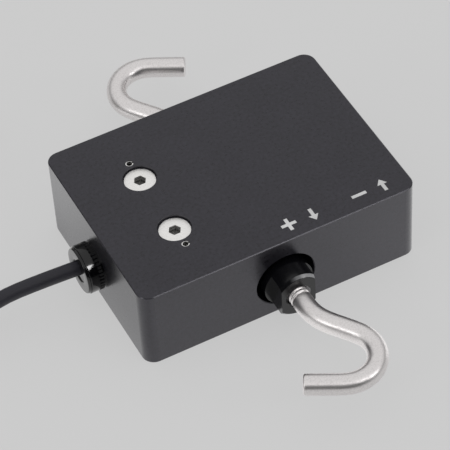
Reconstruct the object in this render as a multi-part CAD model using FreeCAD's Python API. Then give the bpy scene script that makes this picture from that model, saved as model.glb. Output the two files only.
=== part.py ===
"""A remote tension and compression force sensor with a hook at each end.

A milled aluminium housing holds a double bending beam. Two countersunk screws and two spring pins
fix the beam's foot under the top wall. The rear hook is screwed into the rear wall, and the front
hook into the load shaft, which pulls on the beam's free end. A thin cable leaves through a gland
and ends in a 15-way plug.

Millimetres. The origin is the centre of the underside, +Z is up, the load acts along Y, and the
front, where the load shaft comes out, faces -Y.
"""

import FreeCAD, Part
import math
import os

Vector = FreeCAD.Vector
RIGHT = Vector(1, 0, 0)
LEFT = Vector(-1, 0, 0)
FRONT = Vector(0, -1, 0)
BACK = Vector(0, 1, 0)
UP = Vector(0, 0, 1)
DOWN = Vector(0, 0, -1)

# Housing
LENGTH = 90.4
WIDTH = 65.9
HEIGHT = 28.6
CORNER_RADIUS = 3.9
EDGE_BREAK = 0.25
SIDE_WALL = 7.0
TOP_WALL = 5.0
POCKET_RADIUS = 4.0
POST_SIZE = 8.0  # what each corner post adds to the front and rear walls
POST_GAP = 0.7  # between a post and the foot of the beam

# Bottom cover, let into the underside
RIM = 2.0
COVER_THICKNESS = 3.0
COVER_GAP = 0.15
COVER_SCREW_INSET = 5.05  # from the housing's outer face to the screw's axis
COVER_SCREW_SPREAD = 23.0  # half the distance between the screws of one side
COVER_SCREW_RADIUS = 1.4
COVER_SCREW_HEAD_RADIUS = 2.7
COVER_SCREW_LENGTH = 9.0

# Mounting holes in the corner posts, reached through the cover
MOUNT_HOLE_RADIUS = 2.05
MOUNT_HOLE_DEPTH = 12.0
MOUNT_CLEARANCE_RADIUS = 2.7
MOUNT_INSET = 8.7

# Load axis, along Y
AXIS_X = 0.85
AXIS_Z = 12.6

# Load cell: a foot, two necked blades and a free end
CELL_INSET = 14.1  # from the pocket's left wall to the middle of the foot
CELL_Y = -0.6
CELL_THICKNESS = 12.0
FOOT_DEPTH = 11.0
FOOT_WIDTH = 45.0
BEAM_WIDTH = 26.0
FREE_END_DEPTH = 11.0
NECK = 1.2
LOBE_RADIUS = 2.5
WINDOW_MARGIN = 2.0  # of solid metal, from the foot and the free end to the lobes
CELL_EDGE_RADIUS = 1.0
CELL_SCREW_SPREAD = 11.4
CELL_SCREW_RADIUS = 2.38
CELL_SCREW_HEAD_RADIUS = 4.75
CELL_SCREW_LENGTH = 16.0
CELL_SCREW_RECESS = 1.0
CELL_SCREW_BORE_RADIUS = 5.15
PIN_SPREAD = 18.4
PIN_RADIUS = 1.2
PIN_WALL = 0.32
PIN_SLOT = 0.45
PIN_LENGTH = 14.0
PIN_RECESS = 0.25

# Strain gauges and their leads
GAUGE_LENGTH = 4.0
GAUGE_WIDTH = 7.0
GAUGE_THICKNESS = 0.25
GAUGE_LEAD_RADIUS = 0.5
GAUGE_LEAD_BEND = 1.2

# Load shaft and the stud that joins it to the beam
SHAFT_RADIUS = 7.9
SHAFT_REACH = 7.7  # beyond the front face
FLATS_REACH = 6.0  # length of the wrench flats
FLATS_WIDTH = 11.1
SHAFT_CHAMFER = 0.9
SHAFT_TAIL_RADIUS = 6.0
SHAFT_OPENING_RADIUS = 9.52
STUD_RADIUS = 3.0
STUD_LENGTH = 17.0
STUD_CHAMFER = 0.75
JAM_NUT_FLATS = 10.0
JAM_NUT_HEIGHT = 2.9
CELL_GAP = 0.1  # between the jam nut and the beam's free end

# Hooks, bent from round bar
HOOK_RADIUS = 3.175
FRONT_STEM = 5.4  # straight length outside the load shaft
REAR_STEM = 4.0  # straight length outside the rear wall
STEM_INSIDE = 8.5
STEM_BEND_RADIUS = 12.55
STEM_BEND = 36.0
STEM_LEG = 9.6
BOWL_RADIUS = 9.9
BOWL_BEND = 155.0
TIP_LEG = 11.5
TIP_ROUNDING = 0.7

# Fits
RUNNING_GAP = 0.05
THREAD_GAP = 0.05
PRESS_GAP = 0.02
END_GAP = 0.5
WIRE_GAP = 0.2  # between the cable's cut end and its harness

# Cable gland in the left wall
GLAND_Y = 0.0
GLAND_Z = 12.8
GLAND_THREAD_RADIUS = 6.0
GLAND_FLANGE = 0.6
GLAND_FLANGE_RADIUS = 7.2
GLAND_NECK_RADIUS = 5.6
GLAND_NUT_RADIUS = 7.6
GLAND_NUT_LENGTH = 5.1
GLAND_NUT_WALL = 1.6  # at the nut's face
GLAND_NUT_ROUNDING = 1.0
GLAND_MOUTH_RADIUS = 3.6
GLAND_BORE_RADIUS = 3.9
GRIP_FLUTES = 30
GRIP_FLUTE_RADIUS = 0.42
GRIP_LENGTH = 2.7
GLAND_TAIL = 4.0  # thread beyond the inner wall
GLAND_SEAL_LENGTH = 5.0  # inside the gland's body
GLAND_SEAL_RECESS = 0.35  # below the nut's face
LOCKNUT_FLATS = 15.0
LOCKNUT_HEIGHT = 2.8

# Cable: two free stretches with a tied coil between them
CABLE_RADIUS = 2.3
CABLE_INSIDE = 4.6  # from the pocket's wall to the cable's cut end
RUN_SHARE = 0.45  # of the shorter run, used by each bend
CABLE_EXIT_ROUTE = [(-58.0, 1.35, 13.6), (-81.0, 2.4, 12.4), (-101.0, -4.5, 4.0)]
CABLE_END_ROUTE = [
    (-153.8, 42.0, 5.8),
    (-152.8, 57.5, 3.2),
    (-148.0, 71.5, 2.7),
    (-138.5, 80.8, 4.9),
    (-126.0, 85.2, 7.6),
]
COIL_X = -119.0
COIL_Y = 27.0
COIL_MEAN_RADIUS = 25.5
COIL_COLUMNS = 5
COIL_LAYERS = 2
COIL_PITCH = 4.7
TIE_THICKNESS = 0.8
TIE_WIDTH = 8.0
TIE_GAP = 0.1
COIL_ENTRY = 270.0  # degrees round the coil, seen from above
COIL_EXIT = 180.0

# Terminal board under the top wall
BOARD_BEAM_GAP = 3.0  # from the beam's free end to the board
BOARD_POST_GAP = 0.8  # from the board to the housing's corner posts
BOARD_WIDTH = 44.0
BOARD_THICKNESS = 1.6
BOARD_DROP = 5.0  # from the top wall to the board
BOARD_POST_RADIUS = 3.0
BOARD_POST_INSET = 3.5
BOARD_SCREW_RADIUS = 1.25
BOARD_SCREW_HEAD_RADIUS = 2.3
BOARD_SCREW_HEAD_HEIGHT = 1.6
BOARD_SCREW_LENGTH = 6.0
CHIP_SIZES = [(7.0, 5.2, 1.6), (3.2, 1.6, 0.6), (3.2, 1.6, 0.6), (3.2, 1.6, 0.6), (5.0, 9.0, 4.2)]
CHIP_PLACES = [(0.0, 6.0), (-4.5, -1.5), (0.0, -1.5), (4.5, -1.5), (0.0, -9.5)]
HARNESS_RADIUS = 1.1
HARNESS_BEND = 1.6
HARNESS_HEIGHT = 4.8
HARNESS_DROP = 2.4  # from the jacket's cut end to where the wires turn down

# Plug at the cable's far end, lying flat with its contacts towards +X
PLUG_X = -63.0  # mating face of the flange
PLUG_Y = 85.2
HOOD_THICKNESS = 15.2
HOOD_WIDTH = 39.2
HOOD_SHOULDER = 12.0
HOOD_BODY_WIDTH = 25.0
HOOD_LENGTH = 38.0
HOOD_TAIL_WIDTH = 15.0
HOOD_TAPER = 12.0
HOOD_WALL = 1.8
HOOD_ROUNDING = 1.2
HOOD_CORNER_RADIUS = 2.0
BOOT_LENGTH = 13.0
BOOT_RADIUS = 4.6
BOOT_TIP_RADIUS = 3.2
BOOT_GROOVES = 5
BOOT_GROOVE_WIDTH = 1.0
BOOT_GROOVE_DEPTH = 0.6
SHELL_THICKNESS = 0.8
SHELL_HEIGHT = 12.5
SHELL_SKIRT = 5.8
SHELL_WIDTH = 25.0
SHELL_DEPTH = 8.4
SHELL_SLANT = 10.0
SHELL_ROUNDING = 2.2
INSERT_LENGTH = 9.0
PIN_PITCH = 2.77
PIN_ROW_GAP = 2.84
PIN_ROWS = (8, 7)
CONTACT_RADIUS = 0.5
CONTACT_LENGTH = 13.0
CONTACT_REACH = 5.0
THUMB_SPREAD = 16.65
THUMB_RADIUS = 1.4
THUMB_REACH = 6.5
THUMB_HEAD_RADIUS = 3.3
THUMB_HEAD_LENGTH = 12.0
THUMB_HEAD_GAP = 0.3
THUMB_FLUTES = 18
THUMB_FLUTE_RADIUS = 0.35
THUMB_SLOT_WIDTH = 0.9
THUMB_SLOT_DEPTH = 1.2
HOOD_SCREW_RADIUS = 1.4
HOOD_SCREW_HEAD_RADIUS = 2.5
HOOD_SCREW_PLACE = 17.0  # behind the flange
HOOD_SCREW_SPREAD = 9.0

# Socket in a screw head
SOCKET_SHARE = 0.36  # half the socket's width over flats, as a share of the head's radius
SOCKET_DEPTH_SHARE = 0.42  # the socket's depth, as a share of the head's radius
COUNTERSINK = math.radians(41)

# How near two measures are when they count as equal
SAME = 1e-6

# Places that several pieces share
POCKET_TOP = HEIGHT - TOP_WALL
POCKET_X = LENGTH / 2 - SIDE_WALL
POCKET_Y = WIDTH / 2 - SIDE_WALL
CELL_X = -POCKET_X + CELL_INSET
FRONT_FACE = -WIDTH / 2
REAR_FACE = WIDTH / 2
LEFT_FACE = -LENGTH / 2
CELL_FRONT = CELL_Y - BEAM_WIDTH / 2
CELL_BASE = AXIS_Z - CELL_THICKNESS / 2
FOOT_LEFT = CELL_X - FOOT_DEPTH / 2
FOOT_RIGHT = CELL_X + FOOT_DEPTH / 2
FREE_LEFT = AXIS_X - FREE_END_DEPTH / 2
FREE_RIGHT = AXIS_X + FREE_END_DEPTH / 2
POST_SIDE = POST_GAP - FOOT_LEFT
SHAFT_FRONT = FRONT_FACE - SHAFT_REACH
NUT_REAR = CELL_FRONT - CELL_GAP
SHAFT_REAR = NUT_REAR - JAM_NUT_HEIGHT
GLAND_CENTRE = Vector(LEFT_FACE, GLAND_Y, GLAND_Z)
BOARD_LEFT = FREE_RIGHT + BOARD_BEAM_GAP
BOARD_RIGHT = POST_SIDE - BOARD_POST_GAP
BOARD_X = (BOARD_LEFT + BOARD_RIGHT) / 2
BOARD_TOP = POCKET_TOP - BOARD_DROP
BOARD_BASE = BOARD_TOP - BOARD_THICKNESS
COIL_HALF_WIDTH = COIL_COLUMNS * COIL_PITCH / 2
COIL_BASE = TIE_THICKNESS
COIL_TOP = COIL_BASE + COIL_LAYERS * COIL_PITCH
TURN_OUTER_RADIUS = COIL_MEAN_RADIUS + COIL_HALF_WIDTH - COIL_PITCH / 2
PLUG_AXIS_Z = HOOD_THICKNESS / 2


def at_y(y):
    """The point of the load axis at one place along Y."""
    return Vector(AXIS_X, y, AXIS_Z)


def block(x_range, y_range, z_range):
    """A box between two limits along each axis."""
    low, high = zip(x_range, y_range, z_range)
    size = Vector(*high) - Vector(*low)
    return Part.makeBox(size.x, size.y, size.z, Vector(*low))


def upright(edge):
    """Whether an edge is a straight one along Z."""
    ends = [vertex.Point for vertex in edge.Vertexes]
    return len(ends) == 2 and abs(ends[0].x - ends[1].x) < SAME and abs(ends[0].y - ends[1].y) < SAME


def rounded_block(x_range, y_range, z_range, radius):
    """A box with rounded upright edges."""
    box = block(x_range, y_range, z_range)
    return box.makeFillet(radius, [edge for edge in box.Edges if upright(edge)])


def centred(middle, size):
    """The limits of a span about its middle."""
    return (middle - size / 2, middle + size / 2)


def turned(profile, origin, direction):
    """A solid of revolution: profile is a list of (distance along the axis, radius)."""
    outline = Part.makePolygon([Vector(r, 0, a) for a, r in profile + profile[:1]])
    solid = Part.Face(outline).revolve(Vector(0, 0, 0), UP, 360)
    solid.Placement = FreeCAD.Placement(origin, FreeCAD.Rotation(UP, direction))
    return solid


def rod(radius, start, direction, length):
    """A plain round bar."""
    return Part.makeCylinder(radius, length, start, direction)


def hexagon(flats, start, direction, length):
    """A six-sided bar, measured across its flats."""
    corner = flats / math.sqrt(3)
    angles = [math.radians(60 * k) for k in range(7)]
    corners = [Vector(corner * math.cos(angle), corner * math.sin(angle), 0) for angle in angles]
    bar = Part.Face(Part.makePolygon(corners)).extrude(Vector(0, 0, length))
    bar.Placement = FreeCAD.Placement(start, FreeCAD.Rotation(UP, direction))
    return bar


def hex_nut(flats, bore_radius, start, direction, length):
    """A hexagon nut with its corners turned off."""
    corner = flats / math.sqrt(3)
    cut = corner - flats / 2
    bounds = [(0, 0), (0, flats / 2), (cut, corner), (length - cut, corner), (length, flats / 2), (length, 0)]
    nut = hexagon(flats, start, direction, length).common(turned(bounds, start, direction))
    return nut.cut(rod(bore_radius, start, direction, length))


def countersink_depth(head_radius, shank_radius):
    """The height of a flat head's cone."""
    return (head_radius - shank_radius) / math.tan(COUNTERSINK)


def flat_screw(start, direction, head_radius, shank_radius, length):
    """A countersunk screw with a hexagon socket; start is the middle of its flat head."""
    cone = countersink_depth(head_radius, shank_radius)
    tip = shank_radius / 2
    profile = [(0, 0), (0, head_radius), (cone, shank_radius), (length - tip, shank_radius)]
    profile += [(length, tip), (length, 0)]
    socket = hexagon(2 * SOCKET_SHARE * head_radius, start, direction, SOCKET_DEPTH_SHARE * head_radius)
    return turned(profile, start, direction).cut(socket)


def screw_seat(start, direction, head_radius, shank_radius, bore_radius, recess, depth):
    """What a countersunk screw needs cut away: a straight recess, the cone and the shank's hole."""
    cone = countersink_depth(head_radius, shank_radius)
    profile = [(0, 0), (0, bore_radius), (recess, bore_radius), (recess, head_radius)]
    profile += [(recess + cone, shank_radius), (depth, shank_radius), (depth, 0)]
    return turned(profile, start, direction)


def ring_edges(solid, centre, radius):
    """The circular edges of one radius about one point."""
    rings = [edge for edge in solid.Edges if isinstance(edge.Curve, Part.Circle)]
    rings = [edge for edge in rings if abs(edge.Curve.Radius - radius) < SAME]
    return [edge for edge in rings if edge.Curve.Center.distanceToPoint(centre) < SAME]


def grip_flutes(count, flute_radius, radius, start, direction, length):
    """Round grooves along a turned grip, evenly spaced about its axis."""
    turn = FreeCAD.Rotation(UP, direction)
    flutes = []
    for k in range(count):
        angle = 2 * math.pi * k / count
        spot = Vector(radius * math.cos(angle), radius * math.sin(angle), 0)
        flutes.append(rod(flute_radius, start + turn.multVec(spot), direction, length))
    return Part.makeCompound(flutes)


def fused(shapes):
    """One solid from several that touch."""
    return shapes[0].multiFuse(shapes[1:]).removeSplitter()


def bent_bar(steps, radius, origin, side, outward):
    """A round bar bent in one plane. steps holds ("leg", length) and ("bend", radius, degrees), where a
    positive bend turns towards side."""
    place, heading, edges = origin, 0.0, []
    for step in steps:
        ahead = side * math.sin(heading) + outward * math.cos(heading)
        across = side * math.cos(heading) - outward * math.sin(heading)
        if step[0] == "leg":
            end = place + ahead * step[1]
            edges.append(Part.LineSegment(place, end).toShape())
        else:
            turn = math.radians(step[2])
            centre = place + across * math.copysign(step[1], turn)
            spots = []
            for angle in (heading + turn / 2, heading + turn):
                normal = side * math.cos(angle) - outward * math.sin(angle)
                spots.append(centre - normal * math.copysign(step[1], turn))
            end = spots[1]
            edges.append(Part.Arc(place, spots[0], end).toShape())
            heading += turn
        place = end
    section = Part.Wire(Part.makeCircle(radius, origin, outward))
    return Part.Wire(edges).makePipeShell([section], True, True)


def routed_tube(points, radius, label, bend=None):
    """A tube along straight runs joined by tangent arcs, as large as the runs allow or of one radius."""
    edges, start, radii = [], points[0], []
    for before, corner, after in zip(points, points[1:], points[2:]):
        arriving, leaving = (corner - before), (after - corner)
        shorter = min(arriving.Length, leaving.Length)
        arriving.normalize()
        leaving.normalize()
        half_turn = arriving.getAngle(leaving) / 2
        arc_radius = bend or RUN_SHARE * shorter / math.tan(half_turn)
        reach = arc_radius * math.tan(half_turn)
        inward = leaving - arriving
        inward.normalize()
        first, last = corner - arriving * reach, corner + leaving * reach
        middle = corner + inward * (arc_radius / math.cos(half_turn) - arc_radius)
        edges += [Part.LineSegment(start, first).toShape(), Part.Arc(first, middle, last).toShape()]
        start = last
        radii.append(round(arc_radius, 1))
    edges.append(Part.LineSegment(start, points[-1]).toShape())
    path = Part.Wire(edges)
    section = Part.Wire(Part.makeCircle(radius, points[0], points[1] - points[0]))
    tube = path.makePipeShell([section], True, True)
    share = tube.Volume / (math.pi * radius**2 * path.Length)
    print(label, "bend radii", radii, "length", round(path.Length, 1), "volume ratio", round(share, 4))
    return tube


def on_coil(radius, degrees, height):
    """A point of the coil, by its polar place about the coil's middle."""
    angle = math.radians(degrees)
    return Vector(COIL_X + radius * math.cos(angle), COIL_Y + radius * math.sin(angle), height)


def cover_screw_places():
    """The axes of the bottom cover's screws."""
    edge = WIDTH / 2 - COVER_SCREW_INSET
    return [(x, y) for x in (-COVER_SCREW_SPREAD, COVER_SCREW_SPREAD) for y in (-edge, edge)]


def mount_places():
    """The axes of the mounting holes."""
    return [
        (x * (LENGTH / 2 - MOUNT_INSET), y * (WIDTH / 2 - MOUNT_INSET)) for x in (-1, 1) for y in (-1, 1)
    ]


def board_post_places():
    """The axes of the posts that carry the terminal board."""
    half_width = BOARD_WIDTH / 2 - BOARD_POST_INSET
    xs = (BOARD_LEFT + BOARD_POST_INSET, BOARD_RIGHT - BOARD_POST_INSET)
    return [(x, y) for x in xs for y in (-half_width, half_width)]


def cell_screw_places():
    """The axes of the two screws that hold the beam's foot."""
    return [(CELL_X, CELL_Y - CELL_SCREW_SPREAD), (CELL_X, CELL_Y + CELL_SCREW_SPREAD)]


def spring_pin_places():
    """The axes of the two spring pins that locate the beam's foot."""
    return [(CELL_X, CELL_Y - PIN_SPREAD), (CELL_X, CELL_Y + PIN_SPREAD)]


def make_housing():
    """The body: a block pocketed from below, with corner posts and posts for the terminal board."""
    body = rounded_block(centred(0, LENGTH), centred(0, WIDTH), (0, HEIGHT), CORNER_RADIUS)
    rims = [edge for edge in body.Edges if edge.BoundBox.ZLength < SAME]
    body = body.makeChamfer(EDGE_BREAK, rims)
    pocket = rounded_block(
        centred(0, 2 * POCKET_X), centred(0, 2 * POCKET_Y), (0, POCKET_TOP), POCKET_RADIUS
    )
    post_end = POCKET_Y - POST_SIZE
    for side in (-1, 1):
        for end in (-1, 1):
            x_range = sorted((side * POST_SIDE, side * LENGTH / 2))
            y_range = sorted((end * post_end, end * WIDTH / 2))
            pocket = pocket.cut(block(x_range, y_range, (COVER_THICKNESS, HEIGHT)))
    for x, y in board_post_places():
        pocket = pocket.cut(rod(BOARD_POST_RADIUS, Vector(x, y, BOARD_TOP), UP, BOARD_DROP))
    rebate = rounded_block(
        centred(0, LENGTH - 2 * RIM), centred(0, WIDTH - 2 * RIM), (0, COVER_THICKNESS), CORNER_RADIUS - RIM
    )
    cuts = [pocket, rebate]
    for x, y in cover_screw_places():
        cuts.append(rod(COVER_SCREW_RADIUS + THREAD_GAP, Vector(x, y, 0), UP, COVER_SCREW_LENGTH + END_GAP))
    for x, y in mount_places():
        cuts.append(rod(MOUNT_HOLE_RADIUS, Vector(x, y, 0), UP, COVER_THICKNESS + MOUNT_HOLE_DEPTH))
    for x, y in board_post_places():
        depth = BOARD_SCREW_LENGTH + END_GAP
        cuts.append(rod(BOARD_SCREW_RADIUS + THREAD_GAP, Vector(x, y, BOARD_BASE), UP, depth))
    seat_radii = (CELL_SCREW_HEAD_RADIUS + PRESS_GAP, CELL_SCREW_RADIUS + THREAD_GAP, CELL_SCREW_BORE_RADIUS)
    for x, y in cell_screw_places():
        cuts.append(screw_seat(Vector(x, y, HEIGHT), DOWN, *seat_radii, CELL_SCREW_RECESS, TOP_WALL))
    for x, y in spring_pin_places():
        cuts.append(rod(PIN_RADIUS + PRESS_GAP, Vector(x, y, POCKET_TOP), UP, TOP_WALL))
    opening = [
        (0, 0),
        (0, SHAFT_OPENING_RADIUS + EDGE_BREAK),
        (EDGE_BREAK, SHAFT_OPENING_RADIUS),
        (SIDE_WALL, SHAFT_OPENING_RADIUS),
        (SIDE_WALL, 0),
    ]
    cuts.append(turned(opening, at_y(FRONT_FACE), BACK))
    cuts.append(rod(HOOK_RADIUS + RUNNING_GAP, at_y(POCKET_Y), BACK, SIDE_WALL))
    cuts.append(rod(GLAND_THREAD_RADIUS + THREAD_GAP, GLAND_CENTRE, RIGHT, SIDE_WALL))
    for cut in cuts:
        body = body.cut(cut)
    return body


def make_bottom_cover():
    """The plate let into the underside, countersunk for its screws and open over the mounting holes."""
    plate = rounded_block(
        centred(0, LENGTH - 2 * (RIM + COVER_GAP)),
        centred(0, WIDTH - 2 * (RIM + COVER_GAP)),
        (0, COVER_THICKNESS),
        CORNER_RADIUS - RIM,
    )
    head_radius = COVER_SCREW_HEAD_RADIUS + PRESS_GAP
    seat_radii = (head_radius, COVER_SCREW_RADIUS + THREAD_GAP, head_radius)
    for x, y in cover_screw_places():
        plate = plate.cut(screw_seat(Vector(x, y, 0), UP, *seat_radii, PRESS_GAP, COVER_THICKNESS))
    for x, y in mount_places():
        plate = plate.cut(rod(MOUNT_CLEARANCE_RADIUS, Vector(x, y, 0), UP, COVER_THICKNESS))
    return plate


def make_cover_screws():
    """Four countersunk screws, flush with the underside."""
    sizes = (COVER_SCREW_HEAD_RADIUS, COVER_SCREW_RADIUS, COVER_SCREW_LENGTH)
    places = [Vector(x, y, PRESS_GAP) for x, y in cover_screw_places()]
    return Part.makeCompound([flat_screw(place, UP, *sizes) for place in places])


def make_cell_screws():
    """Two countersunk screws, their heads a little below the top face."""
    sizes = (CELL_SCREW_HEAD_RADIUS, CELL_SCREW_RADIUS, CELL_SCREW_LENGTH)
    places = [Vector(x, y, HEIGHT - CELL_SCREW_RECESS) for x, y in cell_screw_places()]
    return Part.makeCompound([flat_screw(place, DOWN, *sizes) for place in places])


def make_spring_pins():
    """Two slotted spring pins."""
    pins = []
    for x, y in spring_pin_places():
        top = Vector(x, y, HEIGHT - PIN_RECESS)
        pin = rod(PIN_RADIUS, top, DOWN, PIN_LENGTH).cut(rod(PIN_RADIUS - PIN_WALL, top, DOWN, PIN_LENGTH))
        slot = block((x, x + PIN_RADIUS), centred(y, PIN_SLOT), (top.z - PIN_LENGTH, top.z))
        pins.append(pin.cut(slot))
    return Part.makeCompound(pins)


def make_load_cell():
    """A double bending beam: four necks, where round lobes come near the outer faces, do all the bending."""
    foot = rounded_block(
        (FOOT_LEFT, FOOT_RIGHT), centred(CELL_Y, FOOT_WIDTH), (CELL_BASE, POCKET_TOP), CELL_EDGE_RADIUS
    )
    z_range = (CELL_BASE, CELL_BASE + CELL_THICKNESS)
    beam = rounded_block((FOOT_LEFT, FREE_RIGHT), centred(CELL_Y, BEAM_WIDTH), z_range, CELL_EDGE_RADIUS)
    lobe_offset = BEAM_WIDTH / 2 - NECK - LOBE_RADIUS
    lobe_xs = (FOOT_RIGHT + WINDOW_MARGIN + LOBE_RADIUS, FREE_LEFT - WINDOW_MARGIN - LOBE_RADIUS)
    window = [block(lobe_xs, centred(CELL_Y, 2 * lobe_offset), z_range)]
    for x in lobe_xs:
        for side in (-1, 1):
            corner = Vector(x, CELL_Y + side * lobe_offset, CELL_BASE)
            window.append(rod(LOBE_RADIUS, corner, UP, CELL_THICKNESS))
    cell = fused([foot, beam]).cut(fused(window))
    for x, y in cell_screw_places():
        depth = CELL_SCREW_LENGTH + CELL_SCREW_RECESS - TOP_WALL + END_GAP
        cell = cell.cut(rod(CELL_SCREW_RADIUS + THREAD_GAP, Vector(x, y, POCKET_TOP), DOWN, depth))
    for x, y in spring_pin_places():
        depth = PIN_LENGTH + PIN_RECESS - TOP_WALL + END_GAP
        cell = cell.cut(rod(PIN_RADIUS + PRESS_GAP, Vector(x, y, POCKET_TOP), DOWN, depth))
    stud_end = SHAFT_REAR - STUD_LENGTH / 2 + STUD_LENGTH
    return cell.cut(rod(STUD_RADIUS + THREAD_GAP, at_y(CELL_FRONT), BACK, stud_end - CELL_FRONT + END_GAP))


def gauge_places():
    """The middle of each strain gauge: (x, outer face, side), one over each neck."""
    lobe_xs = (FOOT_RIGHT + WINDOW_MARGIN + LOBE_RADIUS, FREE_LEFT - WINDOW_MARGIN - LOBE_RADIUS)
    return [(x, CELL_Y + side * BEAM_WIDTH / 2, side) for side in (-1, 1) for x in lobe_xs]


def make_strain_gauges():
    """Four foil gauges on the beam's outer faces."""
    gauges = []
    for x, face, side in gauge_places():
        y_range = sorted((face, face + side * GAUGE_THICKNESS))
        gauges.append(block(centred(x, GAUGE_LENGTH), y_range, centred(AXIS_Z, GAUGE_WIDTH)))
    return Part.makeCompound(gauges)


def make_gauge_leads():
    """One pair of leads from each side of the beam, over the free end, to the terminal board."""
    leads = []
    for side in (-1, 1):
        y = CELL_Y + side * (BEAM_WIDTH / 2 + GAUGE_THICKNESS + GAUGE_LEAD_RADIUS)
        height = (AXIS_Z + CELL_THICKNESS / 2 + POCKET_TOP) / 2
        gauge_x = gauge_places()[0][0]
        start = Vector(gauge_x, y, AXIS_Z - GAUGE_WIDTH / 2)
        end_x = BOARD_LEFT + 2 * GAUGE_LEAD_BEND
        points = [start, Vector(gauge_x, y, height), Vector(end_x, y, height), Vector(end_x, y, BOARD_TOP)]
        leads.append(routed_tube(points, GAUGE_LEAD_RADIUS, "gauge leads", GAUGE_LEAD_BEND))
    return Part.makeCompound(leads)


def make_terminal_board():
    """The board that joins the gauges to the cable."""
    board = rounded_block(
        (BOARD_LEFT, BOARD_RIGHT), centred(0, BOARD_WIDTH), (BOARD_BASE, BOARD_TOP), BOARD_POST_INSET / 2
    )
    for x, y in board_post_places():
        board = board.cut(rod(BOARD_SCREW_RADIUS + THREAD_GAP, Vector(x, y, BOARD_BASE), UP, BOARD_THICKNESS))
    return board


def make_board_components():
    """A memory chip, three trimming resistors and the cable's terminal block, under the board."""
    parts = []
    for (length, width, height), (x, y) in zip(CHIP_SIZES, CHIP_PLACES):
        z_range = (BOARD_BASE - height, BOARD_BASE)
        parts.append(block(centred(BOARD_X + x, length), centred(y, width), z_range))
    return Part.makeCompound(parts)


def make_board_screws():
    """Four pan-head screws from below."""
    screws = []
    for x, y in board_post_places():
        head = rod(BOARD_SCREW_HEAD_RADIUS, Vector(x, y, BOARD_BASE), DOWN, BOARD_SCREW_HEAD_HEIGHT)
        shank = rod(BOARD_SCREW_RADIUS, Vector(x, y, BOARD_BASE), UP, BOARD_SCREW_LENGTH)
        screws.append(fused([head, shank]))
    return Part.makeCompound(screws)


def cable_start():
    """The cut end of the cable's jacket, inside the housing."""
    return Vector(-POCKET_X + CABLE_INSIDE, GLAND_Y, GLAND_Z)


def make_harness():
    """The cable's wires, from the jacket's end under the beam to the terminal board."""
    start = cable_start() + RIGHT * WIRE_GAP
    drop_x = cable_start().x + HARNESS_DROP
    board_x = BOARD_LEFT + 2 * HARNESS_RADIUS
    points = [
        start,
        Vector(drop_x, start.y, start.z),
        Vector(drop_x, start.y, HARNESS_HEIGHT),
        Vector(board_x, start.y, HARNESS_HEIGHT),
        Vector(board_x, start.y, BOARD_BASE),
    ]
    return routed_tube(points, HARNESS_RADIUS, "harness", HARNESS_BEND)


def make_load_stud():
    """The stud that screws into the load shaft and the beam's free end."""
    end_radius = STUD_RADIUS - STUD_CHAMFER
    profile = [
        (0, 0),
        (0, end_radius),
        (STUD_CHAMFER, STUD_RADIUS),
        (STUD_LENGTH - STUD_CHAMFER, STUD_RADIUS),
        (STUD_LENGTH, end_radius),
        (STUD_LENGTH, 0),
    ]
    return turned(profile, at_y(SHAFT_REAR - STUD_LENGTH / 2), BACK)


def make_jam_nut():
    """The thin nut that locks the load shaft on its stud."""
    return hex_nut(JAM_NUT_FLATS, STUD_RADIUS + THREAD_GAP, at_y(SHAFT_REAR), BACK, JAM_NUT_HEIGHT)


def make_load_shaft():
    """The shaft that comes out of the front face, with two wrench flats and a tapped hole for the hook."""
    length = SHAFT_REAR - SHAFT_FRONT
    shoulder = length - (SHAFT_RADIUS - SHAFT_TAIL_RADIUS) - SIDE_WALL
    profile = [
        (0, 0),
        (0, SHAFT_RADIUS - SHAFT_CHAMFER),
        (SHAFT_CHAMFER, SHAFT_RADIUS),
        (shoulder, SHAFT_RADIUS),
        (shoulder + SHAFT_RADIUS - SHAFT_TAIL_RADIUS, SHAFT_TAIL_RADIUS),
        (length, SHAFT_TAIL_RADIUS),
        (length, 0),
    ]
    shaft = turned(profile, at_y(SHAFT_FRONT), BACK)
    for side in (-1, 1):
        x_range = sorted((AXIS_X + side * FLATS_WIDTH / 2, AXIS_X + side * 2 * SHAFT_RADIUS))
        y_range = (SHAFT_FRONT - SHAFT_CHAMFER, SHAFT_FRONT + FLATS_REACH)
        shaft = shaft.cut(block(x_range, y_range, centred(AXIS_Z, 2 * SHAFT_RADIUS)))
    thread = HOOK_RADIUS + RUNNING_GAP
    lead_in = [(0, 0), (0, thread + SHAFT_CHAMFER), (SHAFT_CHAMFER, thread), (STEM_INSIDE + END_GAP, thread)]
    shaft = shaft.cut(turned(lead_in + [(STEM_INSIDE + END_GAP, 0)], at_y(SHAFT_FRONT), BACK))
    stud_depth = STUD_LENGTH / 2 + END_GAP
    return shaft.cut(rod(STUD_RADIUS + THREAD_GAP, at_y(SHAFT_REAR), FRONT, stud_depth))


def make_hook(mouth, outward, side, stem):
    """A hook bent from round bar, its bowl centred on the stem's axis. mouth is where the stem leaves
    its thread."""
    steps = [
        ("leg", STEM_INSIDE + stem),
        ("bend", STEM_BEND_RADIUS, STEM_BEND),
        ("leg", STEM_LEG),
        ("bend", BOWL_RADIUS, -BOWL_BEND),
        ("leg", TIP_LEG),
    ]
    start = mouth - outward * STEM_INSIDE
    bar = bent_bar(steps, HOOK_RADIUS, start, side, outward)
    return bar.makeFillet(TIP_ROUNDING, [edge for edge in bar.Edges if flat_end(bar, edge)])


def flat_end(bar, edge):
    """Whether an edge borders one of the bar's flat ends."""
    return any(
        isinstance(face.Surface, Part.Plane) and any(edge.isSame(other) for other in face.Edges)
        for face in bar.Faces
    )


def make_front_hook():
    """The hook in the load shaft."""
    return make_hook(at_y(SHAFT_FRONT), FRONT, RIGHT, FRONT_STEM)


def make_rear_hook():
    """The hook in the rear wall, the front one turned half round."""
    return make_hook(at_y(REAR_FACE), BACK, LEFT, REAR_STEM)


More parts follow.
